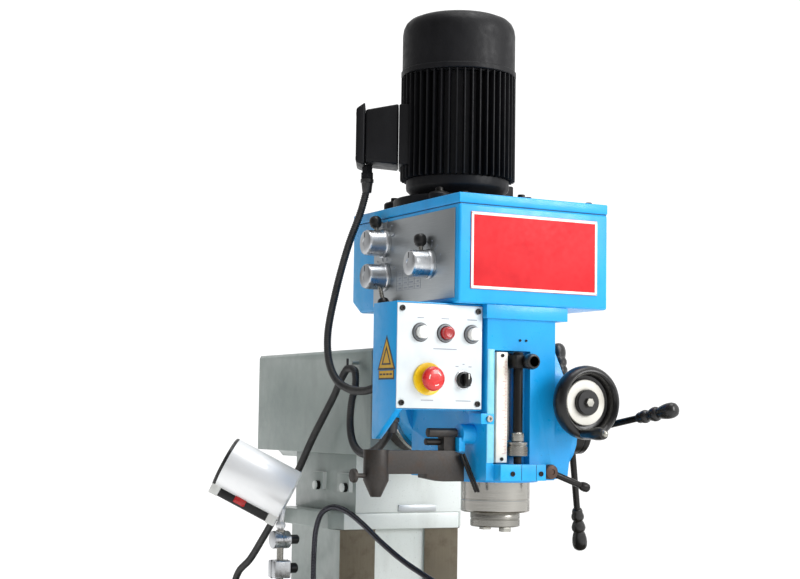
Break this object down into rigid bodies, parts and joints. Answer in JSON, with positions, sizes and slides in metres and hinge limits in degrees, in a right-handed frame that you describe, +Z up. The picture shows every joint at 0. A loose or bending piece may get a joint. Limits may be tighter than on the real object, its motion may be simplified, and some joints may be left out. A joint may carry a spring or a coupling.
{
  "type": "vertical milling machine",
  "caption": "Floor-standing ram-type knee milling machine with a tilting vertical head, feed levers, slotted table, handwheels, control box and work lamp.",
  "frame": {"origin": "centre of the underside of the base", "axes": "+Z up, -Y towards the operator, +X to the operator's right along the table"},
  "size_m": [1.233, 1.1645, 2.045],
  "materials": {
    "blue_paint": "semi-gloss machine enamel over cast iron",
    "grey_paint": "light grey machine enamel over cast iron",
    "white_paint": "off-white enamel",
    "motor_black": "semi-gloss black enamel over cast iron",
    "cast_iron": "machined cast iron",
    "dark_steel": "blackened steel",
    "steel": "ground steel",
    "bright_steel": "polished ground steel",
    "aluminium": "turned and anodised",
    "red_badge": "printed plate with a plain border",
    "black_plastic": "moulded",
    "white_plastic": "moulded",
    "panel_white": "printed panel",
    "red_plastic": "moulded",
    "yellow_plastic": "moulded",
    "conduit_black": "corrugated flexible conduit",
    "hose_metal": "flexible metal coolant hose"
  },
  "bodies": {
    "frame": {"base": "grey_paint", "column": "grey_paint", "ram_seat": "white_paint", "cabinet": "grey_paint", "elevating_screw": "steel", "side_bracket": "grey_paint", "coolant_hose": "hose_metal", "column_conduit": "conduit_black"},
    "knee": {"knee": "grey_paint"},
    "knee_crank": {"knee_crank": "dark_steel"},
    "saddle": {"saddle": "grey_paint"},
    "saddle_drive": {"saddle_handwheel": "black_plastic"},
    "table": {"table": "cast_iron"},
    "table_drive": {"table_screw": "steel", "table_handwheel_left": "black_plastic", "table_handwheel_right": "black_plastic"},
    "ram": {"ram": "grey_paint", "swivel_flange": "dark_steel"},
    "head": {"degree_ring": "bright_steel", "head_body": "blue_paint", "gearbox": "blue_paint", "gearbox_lid": "blue_paint", "badge_plate": "red_badge", "selector_plate": "aluminium", "motor_flange": "motor_black", "motor_body": "motor_black", "fan_cover": "motor_black", "terminal_box": "motor_black", "control_box": "blue_paint", "control_panel": "panel_white", "stop_collar": "yellow_plastic", "depth_scale": "white_plastic", "depth_stop_rod": "dark_steel", "stop_nut": "bright_steel", "bracket_arm": "cast_iron", "motor_conduit": "conduit_black", "head_conduit": "conduit_black"},
    "speed_knob_1": {"speed_knob_1": "aluminium"},
    "speed_knob_2": {"speed_knob_2": "aluminium"},
    "speed_knob_3": {"speed_knob_3": "aluminium"},
    "on_button": {"on_button": "white_plastic"},
    "stop_button": {"stop_button": "red_plastic"},
    "start_button": {"start_button": "white_plastic"},
    "emergency_stop": {"emergency_stop": "red_plastic"},
    "selector": {"selector_switch": "black_plastic"},
    "quill": {"quill": "bright_steel", "quill_stop_knob": "black_plastic"},
    "spindle": {"spindle": "steel"},
    "quill_feed": {"feed_hub": "dark_steel", "feed_lever_1": "black_plastic", "feed_lever_2": "black_plastic", "feed_lever_3": "black_plastic"},
    "fine_feed": {"fine_feed_wheel": "black_plastic", "wheel_dial": "white_plastic", "crank_handle": "black_plastic"},
    "quill_lock": {"quill_lock": "dark_steel"},
    "lamp_arm": {"lamp_arm": "aluminium"},
    "lamp_head": {"lamp_head": "aluminium"}
  },
  "joints": [
    {"name": "knee_crank_turn", "type": "hinge", "parent": "knee", "child": "knee_crank", "pos_m": [-0.075, -0.44, 0.49], "axis": [0, -1, 0], "range_deg": [-15841, 2161]},
    {"name": "knee_lift", "type": "slide", "parent": "frame", "child": "knee", "axis": [0, 0, 1], "range_m": [-0.22, 0.03]},
    {"name": "saddle_handwheel_turn", "type": "hinge", "parent": "knee", "child": "saddle_drive", "pos_m": [0, -0.436, 0.668], "axis": [0, -1, 0], "range_deg": [-7201, 7201]},
    {"name": "saddle_travel", "type": "slide", "parent": "knee", "child": "saddle", "axis": [0, 1, 0], "range_m": [-0.1, 0.1]},
    {"name": "table_handwheel_turn", "type": "hinge", "parent": "table", "child": "table_drive", "pos_m": [0.54, -0.29, 0.852], "axis": [1, 0, 0], "range_deg": [-14401, 14401]},
    {"name": "table_travel", "type": "slide", "parent": "saddle", "child": "table", "axis": [1, 0, 0], "range_m": [-0.2, 0.2]},
    {"name": "ram_travel", "type": "slide", "parent": "frame", "child": "ram", "axis": [0, 1, 0], "range_m": [-0.12, 0.16], "deforming": ["column_conduit"]},
    {"name": "head_tilt", "type": "hinge", "parent": "ram", "child": "head", "pos_m": [0, -0.07, 1.308], "axis": [0, 1, 0], "range_deg": [-45, 45], "deforming": ["head_conduit"]},
    {"name": "speed_knob_1_turn", "type": "hinge", "parent": "head", "child": "speed_knob_1", "pos_m": [-0.16, -0.126, 1.6], "axis": [1, 0, 0], "range_deg": [-75, 75]},
    {"name": "speed_knob_2_turn", "type": "hinge", "parent": "head", "child": "speed_knob_2", "pos_m": [-0.16, -0.128, 1.537], "axis": [1, 0, 0], "range_deg": [-60, 60]},
    {"name": "speed_knob_3_turn", "type": "hinge", "parent": "head", "child": "speed_knob_3", "pos_m": [-0.16, -0.299, 1.548], "axis": [1, 0, 0], "range_deg": [-90, 90]},
    {"name": "on_button_press", "type": "slide", "parent": "head", "child": "on_button", "axis": [0, 1, 0], "range_m": [0, 0.0038], "stiffness_N_per_m": 600, "springref_m": -0.002},
    {"name": "stop_button_press", "type": "slide", "parent": "head", "child": "stop_button", "axis": [0, 1, 0], "range_m": [0, 0.0038], "stiffness_N_per_m": 600, "springref_m": -0.002},
    {"name": "start_button_press", "type": "slide", "parent": "head", "child": "start_button", "axis": [0, 1, 0], "range_m": [0, 0.0038], "stiffness_N_per_m": 600, "springref_m": -0.002},
    {"name": "emergency_stop_press", "type": "slide", "parent": "head", "child": "emergency_stop", "axis": [0, 1, 0], "range_m": [0, 0.0035]},
    {"name": "selector_turn", "type": "hinge", "parent": "head", "child": "selector", "pos_m": [-0.123, -0.39, 1.343], "axis": [0, -1, 0], "range_deg": [-45, 45]},
    {"name": "quill_feed_turn", "type": "hinge", "parent": "head", "child": "quill_feed", "pos_m": [0.14, -0.323, 1.252], "axis": [1, 0, 0], "range_deg": [0, 300]},
    {"name": "quill_travel", "type": "slide", "parent": "head", "child": "quill", "axis": [0, 0, -1], "range_m": [0, 0.1051]},
    {"name": "spindle_spin", "type": "hinge", "parent": "quill", "child": "spindle", "pos_m": [0, -0.29, 1.12], "axis": [0, 0, 1], "continuous": true},
    {"name": "fine_feed_turn", "type": "hinge", "parent": "head", "child": "fine_feed", "pos_m": [0.094, -0.43, 1.308], "axis": [0, -1, 0], "continuous": true},
    {"name": "quill_lock_turn", "type": "hinge", "parent": "head", "child": "quill_lock", "pos_m": [0.047, -0.39, 1.186], "axis": [0, -1, 0], "range_deg": [-30, 40]},
    {"name": "lamp_arm_swing", "type": "hinge", "parent": "frame", "child": "lamp_arm", "pos_m": [-0.244, 0.105, 0.93], "axis": [0, 0, 1], "range_deg": [-75, 20]},
    {"name": "lamp_head_tilt", "type": "hinge", "parent": "lamp_arm", "child": "lamp_head", "pos_m": [-0.244, 0.105, 1.0665], "axis": [0.4691, 0.8832, 0], "range_deg": [-18, 25]}
  ],
  "couplings": [
    {"joint": "knee_crank_turn", "follows": "knee_lift", "rad_per_m": 1256.6},
    {"joint": "saddle_handwheel_turn", "follows": "saddle_travel", "rad_per_m": 1256.6},
    {"joint": "table_handwheel_turn", "follows": "table_travel", "rad_per_m": 1256.6},
    {"joint": "quill_travel", "follows": "quill_feed_turn", "m_per_rad": 0.02}
  ]
}
